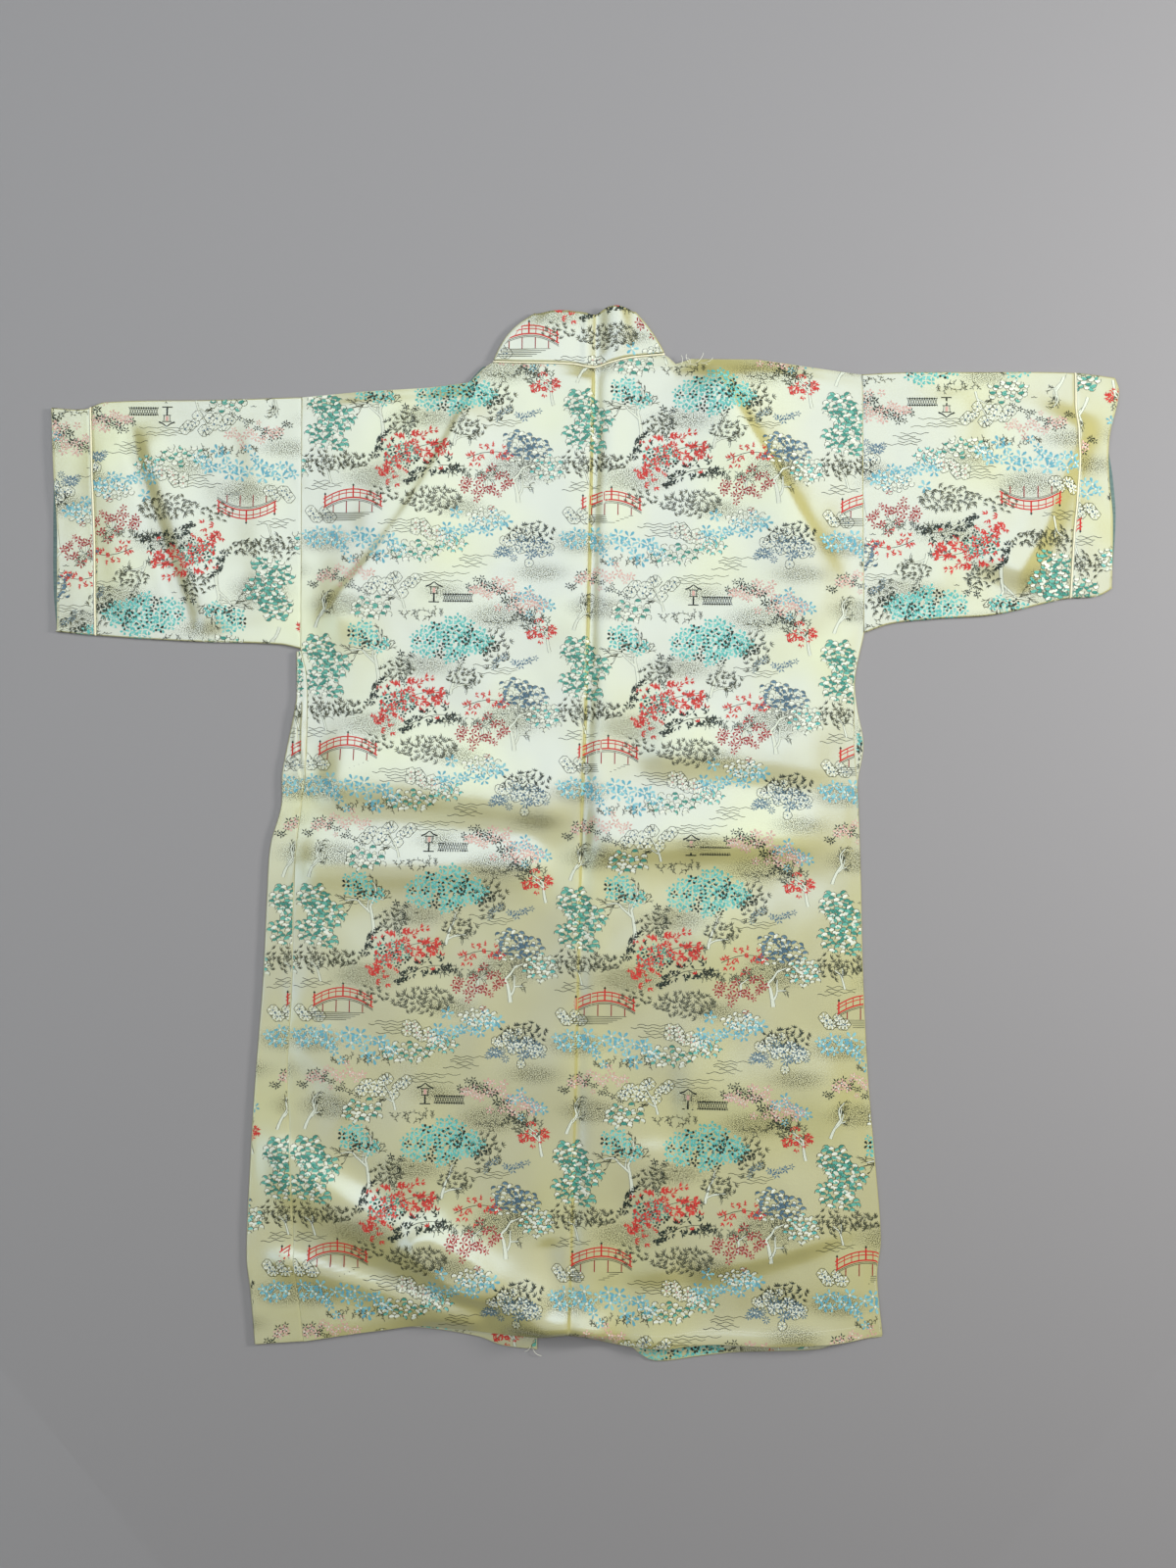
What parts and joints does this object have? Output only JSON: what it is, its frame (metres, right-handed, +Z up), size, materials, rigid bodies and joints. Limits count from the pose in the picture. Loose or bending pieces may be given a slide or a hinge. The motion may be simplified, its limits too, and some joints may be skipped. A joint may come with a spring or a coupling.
{
  "type": "short brocade wrap jacket laid flat",
  "caption": "Short straight-cut silk brocade wrap jacket with wide cuffed sleeves and a band collar, laid flat with its back up.",
  "frame": {"origin": "middle of the laid garment's box, on the surface it lies on", "axes": "+X to the wearer's right, +Y towards the collar, +Z up through the back of the garment"},
  "size_m": [0.9567, 0.9316, 0.0102],
  "materials": {
    "brocade": "satin-ground brocade in pale celadon, with coloured figures",
    "piping": "cream satin bias over cord"
  },
  "bodies": {
    "root": {"back": "brocade", "front_left": "brocade", "front_right": "brocade", "sleeve_left": "brocade", "sleeve_right": "brocade", "cuff_left": "brocade", "cuff_right": "brocade", "collar": "brocade", "piping_cuff_left": "piping", "piping_cuff_right": "piping", "piping_neck": "piping", "piping_front_left": "piping", "piping_front_right": "piping"}
  },
  "joints": []
}
